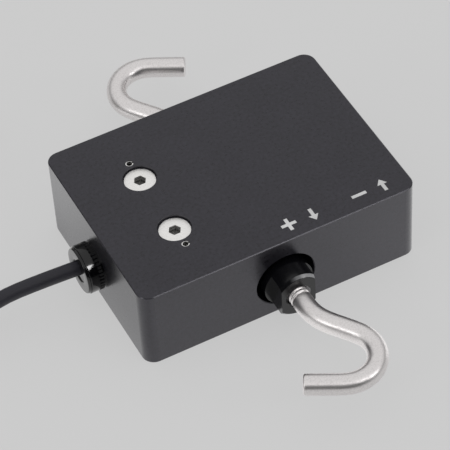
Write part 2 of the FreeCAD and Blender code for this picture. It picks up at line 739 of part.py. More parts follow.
def gland_neck_length():
    """How far the gland's body reaches out of the left wall, up to the inside of its nut's face."""
    return GLAND_FLANGE + GLAND_NUT_LENGTH - GLAND_NUT_WALL


def make_gland_body():
    """The gland's flange, with its thread through the left wall and a neck for the nut."""
    flange = rod(GLAND_FLANGE_RADIUS, GLAND_CENTRE, LEFT, GLAND_FLANGE)
    thread = rod(GLAND_THREAD_RADIUS, GLAND_CENTRE, RIGHT, SIDE_WALL + GLAND_TAIL)
    neck = rod(GLAND_NECK_RADIUS, GLAND_CENTRE, LEFT, gland_neck_length())
    bore_start = GLAND_CENTRE + RIGHT * (SIDE_WALL + GLAND_TAIL)
    bore = rod(GLAND_BORE_RADIUS, bore_start, LEFT, SIDE_WALL + GLAND_TAIL + gland_neck_length())
    return fused([flange, thread, neck]).cut(bore)


def make_gland_nut():
    """The round nut that squeezes the seal round the cable: a smooth rounded front, grip flutes behind."""
    base = GLAND_CENTRE + LEFT * GLAND_FLANGE
    cavity = GLAND_NUT_LENGTH - GLAND_NUT_WALL + PRESS_GAP
    profile = [
        (0, GLAND_NECK_RADIUS + THREAD_GAP),
        (0, GLAND_NUT_RADIUS),
        (GLAND_NUT_LENGTH, GLAND_NUT_RADIUS),
        (GLAND_NUT_LENGTH, GLAND_MOUTH_RADIUS),
        (cavity, GLAND_MOUTH_RADIUS),
        (cavity, GLAND_NECK_RADIUS + THREAD_GAP),
    ]
    nut = turned(profile, base, LEFT)
    front_edge = ring_edges(nut, base + LEFT * GLAND_NUT_LENGTH, GLAND_NUT_RADIUS)
    nut = nut.makeFillet(GLAND_NUT_ROUNDING, front_edge)
    return nut.cut(grip_flutes(GRIP_FLUTES, GRIP_FLUTE_RADIUS, GLAND_NUT_RADIUS, base, LEFT, GRIP_LENGTH))


def make_gland_seal():
    """The rubber sleeve round the cable, held in the gland's body, with a collar in the nut's mouth."""
    reach = GLAND_NUT_WALL - GLAND_SEAL_RECESS
    profile = [
        (-GLAND_SEAL_LENGTH, 0),
        (-GLAND_SEAL_LENGTH, GLAND_BORE_RADIUS - PRESS_GAP),
        (0, GLAND_BORE_RADIUS - PRESS_GAP),
        (0, GLAND_MOUTH_RADIUS - PRESS_GAP),
        (reach, GLAND_MOUTH_RADIUS - PRESS_GAP),
        (reach, 0),
    ]
    sleeve = turned(profile, GLAND_CENTRE + LEFT * gland_neck_length(), LEFT)
    start = cable_start()
    leaving = Vector(*CABLE_EXIT_ROUTE[0]) - start
    return sleeve.cut(rod(CABLE_RADIUS + PRESS_GAP, start, leaving, leaving.Length))


def make_gland_locknut():
    """The nut that holds the gland from inside."""
    start = GLAND_CENTRE + RIGHT * SIDE_WALL
    return hex_nut(LOCKNUT_FLATS, GLAND_THREAD_RADIUS + THREAD_GAP, start, RIGHT, LOCKNUT_HEIGHT)


def make_cable():
    """The stretch of cable from the gland to the coil, where it joins the outermost bottom turn."""
    entry = on_coil(TURN_OUTER_RADIUS, COIL_ENTRY, COIL_BASE + COIL_PITCH / 2)
    route = [cable_start()] + [Vector(*place) for place in CABLE_EXIT_ROUTE] + [entry]
    return routed_tube(route, CABLE_RADIUS, "cable")


def make_cable_end():
    """The stretch of cable from the coil's top turn to the plug."""
    leaving = on_coil(TURN_OUTER_RADIUS, COIL_EXIT, COIL_TOP - COIL_PITCH / 2)
    boot_end = Vector(plug_x(HOOD_LENGTH + BOOT_LENGTH), PLUG_Y, PLUG_AXIS_Z)
    route = [leaving] + [Vector(*place) for place in CABLE_END_ROUTE] + [boot_end]
    return routed_tube(route, CABLE_RADIUS, "cable end")


def make_cable_coil():
    """The outer shape of the coiled length."""
    inner, outer = COIL_MEAN_RADIUS - COIL_HALF_WIDTH, COIL_MEAN_RADIUS + COIL_HALF_WIDTH
    bevel = COIL_PITCH / 4
    profile = [
        (0, inner + bevel),
        (0, outer - bevel),
        (bevel, outer),
        (COIL_TOP - COIL_BASE - bevel, outer),
        (COIL_TOP - COIL_BASE, outer - bevel),
        (COIL_TOP - COIL_BASE, inner + bevel),
        (COIL_TOP - COIL_BASE - bevel, inner),
        (bevel, inner),
    ]
    return turned(profile, Vector(COIL_X, COIL_Y, COIL_BASE), UP)


def make_coil_tie():
    """The strap round the coil's turns."""
    outer = COIL_X + COIL_MEAN_RADIUS + COIL_HALF_WIDTH + TIE_GAP
    inner_radius = COIL_MEAN_RADIUS - COIL_HALF_WIDTH
    inner = COIL_X + math.sqrt(inner_radius**2 - (TIE_WIDTH / 2) ** 2) - TIE_GAP
    top = COIL_TOP + TIE_GAP
    y_range = centred(COIL_Y, TIE_WIDTH)
    loop = block((inner - TIE_THICKNESS, outer + TIE_THICKNESS), y_range, (0, top + TIE_THICKNESS))
    return loop.cut(block((inner, outer), y_range, (TIE_THICKNESS, top)))


def plug_x(distance):
    """A place along the plug, by its distance behind the flange."""
    return PLUG_X - distance


def hood_outline(inset, z, height):
    """The hood's outline, a wide shoulder and a body that tapers to the boot, as an upright solid."""
    shoulder, body, tail = [width / 2 - inset for width in (HOOD_WIDTH, HOOD_BODY_WIDTH, HOOD_TAIL_WIDTH)]
    distances = (inset, HOOD_SHOULDER - inset, HOOD_LENGTH - HOOD_TAPER, HOOD_LENGTH - inset)
    xs = [plug_x(distance) for distance in distances]
    side = [(xs[0], shoulder), (xs[1], shoulder), (xs[1], body), (xs[2], body), (xs[3], tail)]
    corners = side + [(x, -y) for x, y in reversed(side)]
    points = [Vector(x, PLUG_Y + y, z) for x, y in corners + corners[:1]]
    return Part.Face(Part.makePolygon(points)).extrude(Vector(0, 0, height))


def hood_screw_places():
    """The axes of the two screws that close the hood."""
    return [(plug_x(HOOD_SCREW_PLACE), PLUG_Y + side * HOOD_SCREW_SPREAD) for side in (-1, 1)]


def shell_section(start, length, inset):
    """A D-shaped bar, wider at its top, as the plug's shell and insert are."""
    half_width, half_height = SHELL_WIDTH / 2 - inset, SHELL_DEPTH / 2 - inset
    slant = 2 * half_height * math.tan(math.radians(SHELL_SLANT))
    corners = [(half_width, half_height), (half_width - slant, -half_height)]
    corners += [(slant - half_width, -half_height), (-half_width, half_height)]
    points = [Vector(start, PLUG_Y + y, PLUG_AXIS_Z + z) for y, z in corners + corners[:1]]
    bar = Part.Face(Part.makePolygon(points)).extrude(RIGHT * length)
    long_edges = [edge for edge in bar.Edges if abs(edge.BoundBox.XLength - length) < SAME]
    return bar.makeFillet(SHELL_ROUNDING - inset, long_edges)


def make_hood_half(upper):
    """One half of the plug's hood, hollow, with channels for the thumbscrews."""
    z, height = (PLUG_AXIS_Z, HOOD_THICKNESS - PLUG_AXIS_Z) if upper else (0, PLUG_AXIS_Z)
    half = hood_outline(0, z, height)
    upright_edges = [edge for edge in half.Edges if upright(edge)]
    beyond_body = HOOD_BODY_WIDTH / 2 + SAME
    corners = [edge for edge in upright_edges if abs(edge.CenterOfMass.y - PLUG_Y) > beyond_body]
    half = half.makeFillet(HOOD_CORNER_RADIUS, corners)
    outer_z = HOOD_THICKNESS if upper else 0
    level = [edge for edge in half.Edges if edge.BoundBox.ZLength < SAME]
    rims = [edge for edge in level if abs(edge.BoundBox.ZMin - outer_z) < SAME]
    half = half.makeChamfer(HOOD_ROUNDING, rims)
    cavity = hood_outline(HOOD_WALL, HOOD_WALL, HOOD_THICKNESS - 2 * HOOD_WALL)
    rails = [
        block(
            sorted((plug_x(0), plug_x(HOOD_SHOULDER))),
            centred(PLUG_Y + side * THUMB_SPREAD, 2 * (THUMB_RADIUS + HOOD_WALL)),
            (0, HOOD_THICKNESS),
        )
        for side in (-1, 1)
    ]
    boss_radius = HOOD_SCREW_RADIUS + HOOD_WALL
    bosses = [rod(boss_radius, Vector(x, y, 0), UP, HOOD_THICKNESS) for x, y in hood_screw_places()]
    half = half.cut(cavity.cut(fused(rails)).cut(Part.makeCompound(bosses)))
    cuts = [shell_section(plug_x(HOOD_WALL), HOOD_WALL, SHELL_THICKNESS - PRESS_GAP)]
    boot_start = Vector(plug_x(HOOD_LENGTH), PLUG_Y, PLUG_AXIS_Z)
    cuts.append(rod(BOOT_TIP_RADIUS, boot_start, RIGHT, HOOD_WALL))
    for side in (-1, 1):
        start = Vector(plug_x(HOOD_SHOULDER), PLUG_Y + side * THUMB_SPREAD, PLUG_AXIS_Z)
        cuts.append(rod(THUMB_RADIUS + RUNNING_GAP, start, RIGHT, HOOD_SHOULDER))
    head_radius = HOOD_SCREW_HEAD_RADIUS + PRESS_GAP
    seat_radii = (head_radius, HOOD_SCREW_RADIUS + THREAD_GAP, head_radius)
    for x, y in hood_screw_places():
        top = Vector(x, y, HOOD_THICKNESS)
        cuts.append(screw_seat(top, DOWN, *seat_radii, PRESS_GAP, HOOD_THICKNESS - HOOD_WALL))
    for cut in cuts:
        half = half.cut(cut)
    return half


def make_hood_screws():
    """The two screws that close the hood."""
    sizes = (HOOD_SCREW_HEAD_RADIUS, HOOD_SCREW_RADIUS, HOOD_THICKNESS - 2 * HOOD_WALL)
    places = [Vector(x, y, HOOD_THICKNESS - PRESS_GAP) for x, y in hood_screw_places()]
    return Part.makeCompound([flat_screw(place, DOWN, *sizes) for place in places])


def make_connector_shell():
    """The plug's steel flange and its D-shaped skirt."""
    flange = block(
        (PLUG_X, PLUG_X + SHELL_THICKNESS), centred(PLUG_Y, HOOD_WIDTH), centred(PLUG_AXIS_Z, SHELL_HEIGHT)
    )
    shell = fused([flange, shell_section(PLUG_X, SHELL_THICKNESS + SHELL_SKIRT, 0)])
    for side in (-1, 1):
        start = Vector(PLUG_X, PLUG_Y + side * THUMB_SPREAD, PLUG_AXIS_Z)
        shell = shell.cut(rod(THUMB_RADIUS + RUNNING_GAP, start, RIGHT, SHELL_THICKNESS))
    return shell.cut(shell_section(PLUG_X, SHELL_THICKNESS + SHELL_SKIRT, SHELL_THICKNESS))


def contact_places():
    """Where each contact stands on the plug's face."""
    places = []
    for row, count in enumerate(PIN_ROWS):
        z = PLUG_AXIS_Z + (0.5 - row) * PIN_ROW_GAP
        places += [(PLUG_Y + (k - (count - 1) / 2) * PIN_PITCH, z) for k in range(count)]
    return places


def make_connector_insert():
    """The insulator that holds the contacts."""
    start = plug_x(INSERT_LENGTH - SHELL_THICKNESS)
    insert = shell_section(start, INSERT_LENGTH, SHELL_THICKNESS + PRESS_GAP)
    for y, z in contact_places():
        insert = insert.cut(rod(CONTACT_RADIUS + PRESS_GAP, Vector(start, y, z), RIGHT, INSERT_LENGTH))
    return insert


def make_contact_pins():
    """Fifteen round contacts in two rows."""
    front = PLUG_X + SHELL_THICKNESS + CONTACT_REACH
    pins = []
    for y, z in contact_places():
        profile = [(0, 0), (0, CONTACT_RADIUS), (CONTACT_LENGTH - CONTACT_RADIUS, CONTACT_RADIUS)]
        profile += [(CONTACT_LENGTH, CONTACT_RADIUS / 2), (CONTACT_LENGTH, 0)]
        pins.append(turned(profile, Vector(front - CONTACT_LENGTH, y, z), RIGHT))
    return Part.makeCompound(pins)


def make_connector_boot():
    """The tapered rubber strain relief behind the hood, grooved so that it bends evenly."""
    start = Vector(plug_x(HOOD_LENGTH), PLUG_Y, PLUG_AXIS_Z)
    profile = [(0, 0), (0, BOOT_RADIUS)]
    for k in range(1, BOOT_GROOVES + 1):
        share = k / (BOOT_GROOVES + 1)
        radius = BOOT_RADIUS + (BOOT_TIP_RADIUS - BOOT_RADIUS) * share
        near, far = centred(BOOT_LENGTH * share, BOOT_GROOVE_WIDTH)
        floor = radius - BOOT_GROOVE_DEPTH
        profile += [(near, radius), (near, floor), (far, floor), (far, radius)]
    profile += [(BOOT_LENGTH, BOOT_TIP_RADIUS), (BOOT_LENGTH, 0)]
    return turned(profile, start, LEFT)


def make_thumbscrew(side):
    """One of the plug's two long thumbscrews, with a fluted head and a slot in its end."""
    head_start = -HOOD_SHOULDER - THUMB_HEAD_GAP
    head_end = head_start - THUMB_HEAD_LENGTH
    origin = Vector(PLUG_X, PLUG_Y + side * THUMB_SPREAD, PLUG_AXIS_Z)
    tip = SHELL_THICKNESS + THUMB_REACH
    profile = [
        (head_end, 0),
        (head_end, THUMB_HEAD_RADIUS - THUMB_RADIUS / 2),
        (head_end + THUMB_RADIUS / 2, THUMB_HEAD_RADIUS),
        (head_start, THUMB_HEAD_RADIUS),
        (head_start, THUMB_RADIUS),
        (tip - THUMB_RADIUS / 2, THUMB_RADIUS),
        (tip, THUMB_RADIUS / 2),
        (tip, 0),
    ]
    flute_sizes = (THUMB_FLUTES, THUMB_FLUTE_RADIUS, THUMB_HEAD_RADIUS)
    flutes = grip_flutes(*flute_sizes, origin + RIGHT * head_end, RIGHT, THUMB_HEAD_LENGTH)
    slot = block(
        (origin.x + head_end, origin.x + head_end + THUMB_SLOT_DEPTH),
        centred(origin.y, 2 * THUMB_HEAD_RADIUS),
        centred(origin.z, THUMB_SLOT_WIDTH),
    )
    return turned(profile, origin, RIGHT).cut(flutes).cut(slot)


NODES = {
    "housing": make_housing,
    "bottom_cover": make_bottom_cover,
    "cover_screws": make_cover_screws,
    "cell_screws": make_cell_screws,
    "spring_pins": make_spring_pins,
    "load_cell": make_load_cell,
    "strain_gauges": make_strain_gauges,
    "gauge_leads": make_gauge_leads,
    "terminal_board": make_terminal_board,
    "board_components": make_board_components,
    "board_screws": make_board_screws,
    "harness": make_harness,
    "load_stud": make_load_stud,
    "jam_nut": make_jam_nut,
    "load_shaft": make_load_shaft,
    "front_hook": make_front_hook,
    "rear_hook": make_rear_hook,
    "gland_body": make_gland_body,
    "gland_nut": make_gland_nut,
    "gland_seal": make_gland_seal,
    "gland_locknut": make_gland_locknut,
    "cable": make_cable,
    "cable_coil": make_cable_coil,
    "cable_end": make_cable_end,
    "coil_tie": make_coil_tie,
    "hood_upper": lambda: make_hood_half(True),
    "hood_lower": lambda: make_hood_half(False),
    "hood_screws": make_hood_screws,
    "connector_shell": make_connector_shell,
    "connector_insert": make_connector_insert,
    "contact_pins": make_contact_pins,
    "connector_boot": make_connector_boot,
    "thumbscrew_left": lambda: make_thumbscrew(1),
    "thumbscrew_right": lambda: make_thumbscrew(-1),
}

os.makedirs("parts", exist_ok=True)
for name, make in NODES.items():
    make().exportStep(f"parts/{name}.step")
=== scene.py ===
"""Looks of a force sensor: finishes, the cable at its full length, and small forms on the solids."""

import math

import bpy
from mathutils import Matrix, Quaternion, Vector


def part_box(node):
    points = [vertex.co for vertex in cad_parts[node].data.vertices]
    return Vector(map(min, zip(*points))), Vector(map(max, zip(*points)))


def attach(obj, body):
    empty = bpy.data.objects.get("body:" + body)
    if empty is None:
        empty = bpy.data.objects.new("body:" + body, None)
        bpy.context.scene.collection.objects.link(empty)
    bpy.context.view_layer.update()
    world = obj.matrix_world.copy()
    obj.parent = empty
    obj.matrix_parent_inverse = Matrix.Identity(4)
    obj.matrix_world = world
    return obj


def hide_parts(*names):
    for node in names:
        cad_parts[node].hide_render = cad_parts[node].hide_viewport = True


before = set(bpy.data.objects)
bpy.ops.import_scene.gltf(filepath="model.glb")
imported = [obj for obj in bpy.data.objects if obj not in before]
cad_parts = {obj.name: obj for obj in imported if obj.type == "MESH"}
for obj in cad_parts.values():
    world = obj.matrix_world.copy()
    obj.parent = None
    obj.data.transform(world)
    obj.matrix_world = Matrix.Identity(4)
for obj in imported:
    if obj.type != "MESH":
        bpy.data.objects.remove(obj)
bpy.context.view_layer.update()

MM = 0.001
RIGHT = Vector((1, 0, 0))
FRONT = Vector((0, -1, 0))
UP = Vector((0, 0, 1))

# Camera, as the photograph was taken
CAMERA_PLACE = Vector((-219.43, -469.97, 575.79)) * MM
CAMERA_HEADING = 24.787  # degrees from +Y towards +X
CAMERA_DEPRESSION = 47.731
CAMERA_ROLL = -3.893
CAMERA_LENS = 203.9
CAMERA_SENSOR = 36.0

# Load axis and the hooks bent from round bar, as the solids have them
AXIS_X = 0.85 * MM
AXIS_Z = 12.6 * MM
SHAFT_FRONT = -40.65 * MM
SHAFT_CHAMFER = 0.9 * MM
REAR_FACE = 32.95 * MM
HOOK_RADIUS = 3.175 * MM
STEM_INSIDE = 8.5 * MM
FRONT_STEM = 5.4 * MM
REAR_STEM = 4.0 * MM
STEM_BEND = (12.55 * MM, 36.0)  # radius, and turn in degrees
STEM_LEG = 9.6 * MM
BOWL_BEND = (9.9 * MM, -155.0)
TIP_LEG = 11.5 * MM
TIP_ROUNDING = 0.7 * MM
THREAD_PITCH = 1.27 * MM
THREAD_DEPTH = 0.42 * MM
THREAD_OUTSIDE = 2.3 * MM
THREAD_FADE = 0.9 * MM
THREAD_FLANK = 0.42  # half the groove's width, as a share of the pitch
THREAD_RINGS = 12  # in each pitch
LEG_STEP = 0.6 * MM  # between rings on a hook's straight runs
BEND_STEP = 3  # degrees between rings in a bend
TIP_RINGS = 6
HOOK_SEGMENTS = 56

# Cable gland in the left wall
GLAND_X = -45.2 * MM
GLAND_Z = 12.8 * MM
GLAND_FLANGE = 0.6 * MM
GLAND_NUT_RADIUS = 7.6 * MM
GLAND_NUT_LENGTH = 5.1 * MM
GLAND_NUT_WALL = 1.6 * MM
GLAND_MOUTH_RADIUS = 3.6 * MM
GLAND_NUT_BORE = 5.65 * MM
GLAND_BARREL_RINGS = 12
GLAND_GROOVE = 0.9 * MM  # from the nut's face to the groove round it
GLAND_GROOVE_DEPTH = 0.35 * MM
GLAND_GROOVE_EDGE = 0.15 * MM  # rounding on both sides of the groove
GLAND_CONE_DROP = 0.75 * MM  # how much the front cone narrows
GLAND_CONE_EDGE = 0.35 * MM
GLAND_LIP = 0.4 * MM  # rounding at the mouth
GRIP_RIBS = 36
GRIP_STEPS = 10  # points round each rib
GRIP_LENGTH = 1.2 * MM
GRIP_FADE = 0.3 * MM  # where the ribs run out into the barrel
GRIP_DEPTH = 0.22 * MM
GRIP_ROUNDNESS = 0.7  # lower is squarer

# Screws in the top face: each one's distance in Y from the middle of the pair
SCREW_SPREAD = 11.4 * MM

# Marks printed along the top's front edge: plus, arrow out of the front, minus, arrow into it
HOUSING_TOP = 28.6 * MM
MARK_Y = -27.5 * MM
PLUS_X = 5.2 * MM
OUT_ARROW_X = 13.2 * MM
MINUS_X = 28.6 * MM
IN_ARROW_X = 36.6 * MM
MARK_REACH = 2.4 * MM
MARK_STROKE = 0.55 * MM
ARROW_NECK = 0.3 * MM
ARROW_REACH = 1.6 * MM
INK = 0.02 * MM

# Strap round the coil, and the end that laps over it
STRAP_THICKNESS = 0.8 * MM
STRAP_CORNER = 2.8 * MM
STRAP_EDGE = 0.3 * MM
LAP_START = 1 * MM
LAP_LENGTH = 13 * MM
LAP_STEPS = 16
LAP_CLEARANCE = 0.02 * MM
LAP_NARROWEST = 0.35

# Cable: route points of its two free stretches, and the coil between them
CABLE_RADIUS = 2.3 * MM
CABLE_START = (-33.6, 0.0, 12.8)
CABLE_EXIT_ROUTE = [(-58.0, 1.35, 13.6), (-81.0, 2.4, 12.4), (-101.0, -4.5, 4.0)]
CABLE_END_ROUTE = [
    (-153.8, 42.0, 5.8),
    (-152.8, 57.5, 3.2),
    (-148.0, 71.5, 2.7),
    (-138.5, 80.8, 4.9),
    (-126.0, 85.2, 7.6),
    (-114.0, 85.2, 7.6),
]
COIL_CENTRE = (-119.0, 27.0)
COIL_RADII = [34.9, 30.2, 25.5, 20.8, 16.1]
COIL_HEIGHTS = (3.15, 7.85)
COIL_ENTRY = 270.0
COIL_EXIT = 180.0
COIL_SHIFT = (340.0, 285.0)  # where each turn moves over to the next column
COIL_STEPS = 16  # control points in each turn

# Floor: its paint, the brightness it shows, and how far its shading is evened out for the eye
FLOOR_HALF = 2.5
FLOOR_DROP = 0.05 * MM
FLOOR_GREY = 0.67
BACKGROUND_GREY = 0.626
FLOOR_GLOW = 0.8

# Brightness of the floor in reflections, where it glows with painted light and shade in patches about the
# object, and the stretches in X and Y, in millimetres, where it changes
REFLECTED_FAR = 0.672
REFLECTED_NEAR = 0.39  # added close to the object
REFLECTED_LEFT = (-0.12, 0.48)  # added along its left wall, and there at the back
REFLECTED_RIGHT = 0.26  # added at its right
REFLECTED_REAR = -0.37  # added close behind it
NEAR_FRONT = (-78, -58)
NEAR_BACK = (72, 52)
LEFT_X = (-45, -52)
LEFT_BACK_Y = (5, 50)
RIGHT_X = (10, 50)
REAR_X = (-42, -34)
REAR_Y = (34, 42)

# Brightness of the surroundings, where 1 is white: all round, near the ground, and low and high on
# the camera's side, with the stretches of height, and of direction towards that side, where it changes
WORLD_ROUND = 0.78
WORLD_RIM = 0.25
WORLD_LOW = 0.06
WORLD_HIGH = 1.25
CAMERA_SIDE = (-0.1, -0.995)
SIDE_STRETCH = (0.3, 0.7)
FRONT_STRETCH = (0.62, 0.74)
BACK_STRETCH = (0.15, 0.45)

# Soft lamps: direction from the object, width and height in metres, and brightness, where 1 is white
SOFTBOX_DISTANCE = 1.3
SOFTBOXES = {
    "front_softbox": ((0.28, -0.71, 0.65), (0.3, 0.26), 2.6),
    "left_softbox": ((-0.84, -0.22, 0.5), (0.3, 0.34), 3.2),
    "right_softbox": ((0.62, -0.64, 0.45), (0.4, 0.24), 4.5),
    "edge_softbox": ((0.28, -0.74, 0.6), (0.4, 0.2), 4.0),
    "gland_softbox": ((0.28, -0.74, 0.62), (0.3, 0.7), 20.0),
}


def collect(name, vertices, faces, material, body, smooth_angle=35.0):
    """A mesh piece that rides on a body, smooth except at edges sharper than smooth_angle degrees."""
    mesh = bpy.data.meshes.new(name)
    mesh.from_pydata([tuple(v) for v in vertices], [], faces)
    mesh.validate()
    mesh.polygons.foreach_set("use_smooth", [True] * len(mesh.polygons))
    mesh.set_sharp_from_angle(angle=math.radians(smooth_angle))
    piece = bpy.data.objects.new(name, mesh)
    piece.data.materials.append(material)
    bpy.context.scene.collection.objects.link(piece)
    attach(piece, body)
    return piece


def grid_faces(rings, segments, closed=False):
    """Quads between rings of points, each ring closed on itself."""
    faces = []
    for ring in range(rings if closed else rings - 1):
        here, there = ring * segments, (ring + 1) % rings * segments
        for k in range(segments):
            after = (k + 1) % segments
            faces.append((here + k, here + after, there + after, there + k))
    return faces


def arc_profile(centre, radius, start, end, steps=8):
    """Points of an arc in a profile, by angle from the axis direction towards the radius."""
    angles = [math.radians(start + (end - start) * k / steps) for k in range(steps + 1)]
    return [(centre[0] + radius * math.cos(a), centre[1] + radius * math.sin(a)) for a in angles]


class Finish:
    """A material built on the Principled shader, with short ways to vary it over the surface."""

    def __init__(self, name, colour, roughness, metallic=0.0, ior=1.5):
        self.material = bpy.data.materials.new(name)
        self.material.use_nodes = True
        self.nodes = self.material.node_tree.nodes
        self.links = self.material.node_tree.links
        self.shader = self.nodes["Principled BSDF"]
        self.set("Base Color", (*colour, 1.0))
        self.set("Roughness", roughness)
        self.set("Metallic", metallic)
        self.set("IOR", ior)
        self.place = self.nodes.new("ShaderNodeTexCoord").outputs["Object"]
        self.normal = None

    def set(self, socket, value):
        """A value that is the same all over the surface."""
        self.shader.inputs[socket].default_value = value
        return self

    def join(self, source, node, socket):
        """A link, or a plain value, into a node's socket."""
        if isinstance(source, bpy.types.NodeSocket):
            self.links.new(source, node.inputs[socket])
        else:
            node.inputs[socket].default_value = source

    def noise(self, size, detail=3.0, stretch=(1.0, 1.0, 1.0), rough=0.5):
        """Noise with features of about that size in metres, stretched along the axes."""
        mapping = self.nodes.new("ShaderNodeMapping")
        mapping.inputs["Scale"].default_value = [1 / (size * s) for s in stretch]
        self.links.new(self.place, mapping.inputs["Vector"])
        noise = self.nodes.new("ShaderNodeTexNoise")
        noise.inputs["Scale"].default_value = 1.0
        noise.inputs["Detail"].default_value = detail
        noise.inputs["Roughness"].default_value = rough
        self.links.new(mapping.outputs["Vector"], noise.inputs["Vector"])
        return noise.outputs["Fac"]

    def math(self, operation, *values):
        """One arithmetic step."""
        node = self.nodes.new("ShaderNodeMath")
        node.operation = operation
        for index, value in enumerate(values):
            self.join(value, node, index)
        return node.outputs[0]

    def ramp(self, factor, *stops):
        """A colour ramp from (place, grey or colour) stops."""
        node = self.nodes.new("ShaderNodeValToRGB")
        elements = node.color_ramp.elements
        while len(elements) < len(stops):
            elements.new(0.5)
        for element, (place, value) in zip(elements, stops):
            element.position = place
            element.color = (*value, 1.0) if isinstance(value, tuple) else (value, value, value, 1.0)
        self.join(factor, node, "Fac")
        return node.outputs["Color"]

    def colour(self, factor, *stops):
        """Colour that varies with a factor."""
        self.links.new(self.ramp(factor, *stops), self.shader.inputs["Base Color"])
        return self

    def roughness(self, factor, low, high):
        """Roughness that varies with a factor."""
        node = self.nodes.new("ShaderNodeMapRange")
        node.inputs["To Min"].default_value = low
        node.inputs["To Max"].default_value = high
        node.inputs["From Min"].default_value = 0.3
        node.inputs["From Max"].default_value = 0.7
        self.join(factor, node, "Value")
        self.links.new(node.outputs["Result"], self.shader.inputs["Roughness"])
        return self

    def bump(self, height, depth):
        """Relief of about that depth in metres, on top of any relief before it."""
        node = self.nodes.new("ShaderNodeBump")
        node.inputs["Distance"].default_value = depth
        self.join(height, node, "Height")
        if self.normal:
            self.links.new(self.normal, node.inputs["Normal"])
        self.normal = node.outputs["Normal"]
        self.links.new(self.normal, self.shader.inputs["Normal"])
        return self


def anodised(name, tint, rough, ior=1.57):
    """Bead-blasted metal, finished black."""
    finish = Finish(name, tint, rough, ior=ior).set("Specular Tint", (0.93, 0.91, 1.0, 1.0))
    grain = finish.noise(0.35 * MM, detail=2.0)
    cloud = finish.noise(14 * MM, detail=4.0)
    mottle = finish.noise(1.1 * MM, detail=5.0, rough=0.75)
    blend = finish.math("MULTIPLY_ADD", cloud, 0.15, finish.math("MULTIPLY", mottle, 0.85))
    dark = tuple(c * 0.3 for c in tint)
    light = tuple(c * 1.9 for c in tint)
    finish.colour(blend, (0.38, dark), (0.62, light))
    finish.roughness(mottle, rough - 0.01, rough + 0.01)
    return finish.bump(grain, 0.004 * MM).material


def blackened_shaft(name, tint, edge, front, chamfer):
    """Turned steel, blackened and glossy, with a painted highlight: paler colour on one side of the chamfer
    at its front end.
    """
    finish = Finish(name, tint, 0.2, ior=1.42)
    split = finish.nodes.new("ShaderNodeSeparateXYZ")
    finish.links.new(finish.place, split.inputs[0])
    grain = finish.noise(0.5 * MM, detail=3.0)
    # Painted highlight: a paler band across the chamfer, on its right side only, where the light catches it;
    # the grain breaks up its edges.
    back = finish.math("MULTIPLY", finish.math("SUBTRACT", split.outputs["Y"], front), 0.5 / chamfer)
    chamfer_place = finish.math("MULTIPLY_ADD", grain, 0.08, back)
    painted_highlight = finish.ramp(chamfer_place, (0.1, 0.0), (0.14, 1.0), (0.5, 1.0), (0.56, 0.0))
    side = finish.math("MULTIPLY_ADD", split.outputs["X"], 1 / (6 * MM), 0.25)
    lit_side = finish.math("MINIMUM", finish.math("MAXIMUM", side, 0.0), 1.0)
    finish.colour(finish.math("MULTIPLY", painted_highlight, lit_side), (0.0, tint), (1.0, edge))
    finish.roughness(grain, 0.16, 0.26)
    return finish.bump(grain, 0.002 * MM).material


def metal(name, tint, rough, grain_size=0.4 * MM, grain_depth=0.002 * MM, stretch=(1.0, 1.0, 1.0)):
    """A plain metal with a fine grain and slightly uneven polish."""
    finish = Finish(name, tint, rough, metallic=1.0)
    grain = finish.noise(grain_size, detail=3.0, stretch=stretch)
    cloud = finish.noise(6 * MM, detail=3.0)
    finish.colour(cloud, (0.3, tuple(c * 0.92 for c in tint)), (0.7, tint))
    blend = finish.math("ADD", finish.math("MULTIPLY", grain, 0.5), finish.math("MULTIPLY", cloud, 0.5))
    finish.roughness(blend, rough - 0.06, rough + 0.06)
    return finish.bump(grain, grain_depth).material


def moulded(name, tint, rough, grain_size=0.5 * MM, grain_depth=0.004 * MM, ior=1.5):
    """Moulded plastic or rubber."""
    finish = Finish(name, tint, rough, ior=ior)
    grain = finish.noise(grain_size, detail=2.0)
    cloud = finish.noise(9 * MM, detail=3.0)
    finish.colour(cloud, (0.3, tuple(c * 0.85 for c in tint)), (0.7, tuple(c * 1.1 for c in tint)))
    finish.roughness(cloud, rough - 0.04, rough + 0.05)
    return finish.bump(grain, grain_depth).material


def tumbled(name, tint, rough):
    """Stainless bar, tumbled: a soft sheen with a fine uneven speckle."""
    finish = Finish(name, tint, rough, metallic=1.0)
    speckle = finish.noise(0.45 * MM, detail=4.0, rough=0.7)
    dents = finish.noise(1.6 * MM, detail=3.0)
    finish.colour(speckle, (0.32, tuple(c * 0.82 for c in tint)), (0.55, tint))
    finish.roughness(speckle, rough + 0.08, rough - 0.06)
    return finish.bump(dents, 0.012 * MM).bump(speckle, 0.008 * MM).material


